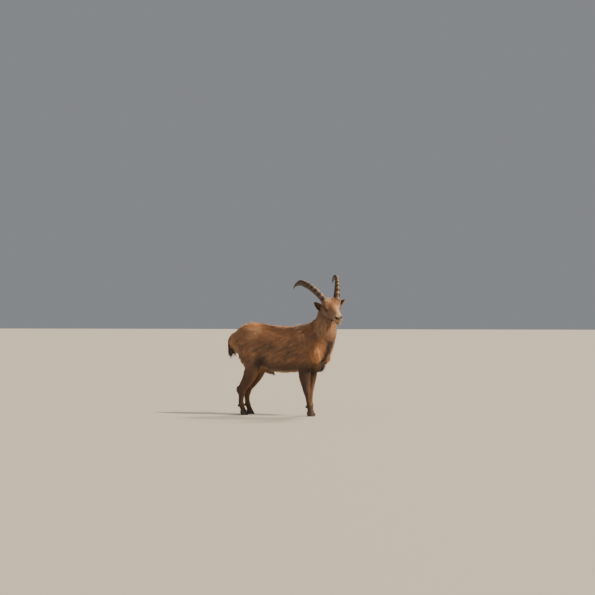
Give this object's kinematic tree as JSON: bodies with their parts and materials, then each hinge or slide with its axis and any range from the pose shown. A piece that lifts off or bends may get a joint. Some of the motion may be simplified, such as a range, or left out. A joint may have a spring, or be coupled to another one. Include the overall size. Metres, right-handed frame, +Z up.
{
  "type": "alpine ibex model",
  "caption": "Life-size still model of a young male alpine ibex standing square with its head turned to its right.",
  "frame": {"origin": "middle of the bounding box, on the floor under the hooves", "axes": "+X towards the animal's chest, +Y to its left, +Z up"},
  "size_m": [1.1998, 0.5684, 1.2514],
  "materials": {
    "coat": "short reddish-brown coat, matt",
    "dark_coat": "long black-brown hair, matt",
    "horn": "ridged grey-brown horn, satin",
    "hoof": "dark hoof horn, satin",
    "eye": "polished glass eye, amber-brown with a level slit pupil"
  },
  "bodies": {
    "root": {"ear_left": "coat", "ear_right": "coat", "eye_left": "eye", "eye_right": "eye", "head": "coat", "hoof_front_left_inner": "hoof", "hoof_front_left_outer": "hoof", "hoof_front_right_inner": "hoof", "hoof_front_right_outer": "hoof", "hoof_hind_left_inner": "hoof", "hoof_hind_left_outer": "hoof", "hoof_hind_right_inner": "hoof", "hoof_hind_right_outer": "hoof", "horn_left": "horn", "horn_right": "horn", "leg_front_left": "coat", "leg_front_right": "coat", "leg_hind_left": "coat", "leg_hind_right": "coat", "neck": "coat", "tail": "dark_coat", "torso": "coat"}
  },
  "joints": []
}
